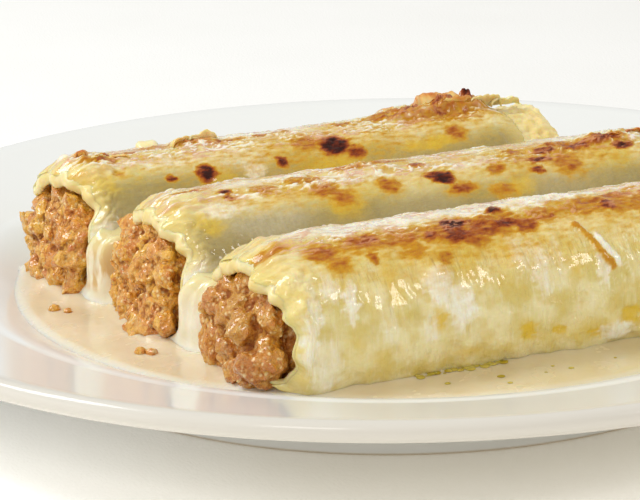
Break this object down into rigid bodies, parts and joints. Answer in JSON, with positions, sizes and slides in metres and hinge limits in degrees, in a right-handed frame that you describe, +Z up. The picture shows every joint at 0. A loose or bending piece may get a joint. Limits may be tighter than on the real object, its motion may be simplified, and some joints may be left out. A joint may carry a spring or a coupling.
{
  "type": "cannelloni",
  "caption": "Filled cannelloni rolls with a gratinated cheese and cream topping, lying in cream sauce on a round white dinner plate.",
  "frame": {"origin": "under the middle of the plate, on the surface that its foot ring stands on", "axes": "+X along the rolls from their shown cut ends to their far ends, +Y from the front roll to the back roll, +Z up"},
  "size_m": [0.27, 0.27, 0.0485],
  "materials": {
    "porcelain": "smooth white glaze",
    "cream_sauce": "wet, glossy ivory cream sauce",
    "meat_filling": "moist, coarse cooked minced meat",
    "pasta": "soft, slightly translucent cooked egg pasta",
    "gratin": "melted cheese and cream, browned in spots, with an oily sheen"
  },
  "bodies": {
    "root": {"plate": "porcelain", "sauce": "cream_sauce", "sauce_near": "cream_sauce", "cream_front": "cream_sauce", "cream_back": "cream_sauce", "filling_front": "meat_filling", "filling_middle": "meat_filling", "filling_back": "meat_filling", "pasta_front": "pasta", "pasta_middle": "pasta", "pasta_back": "pasta", "gratin_front": "gratin", "gratin_middle": "gratin", "gratin_back": "gratin"}
  },
  "joints": []
}
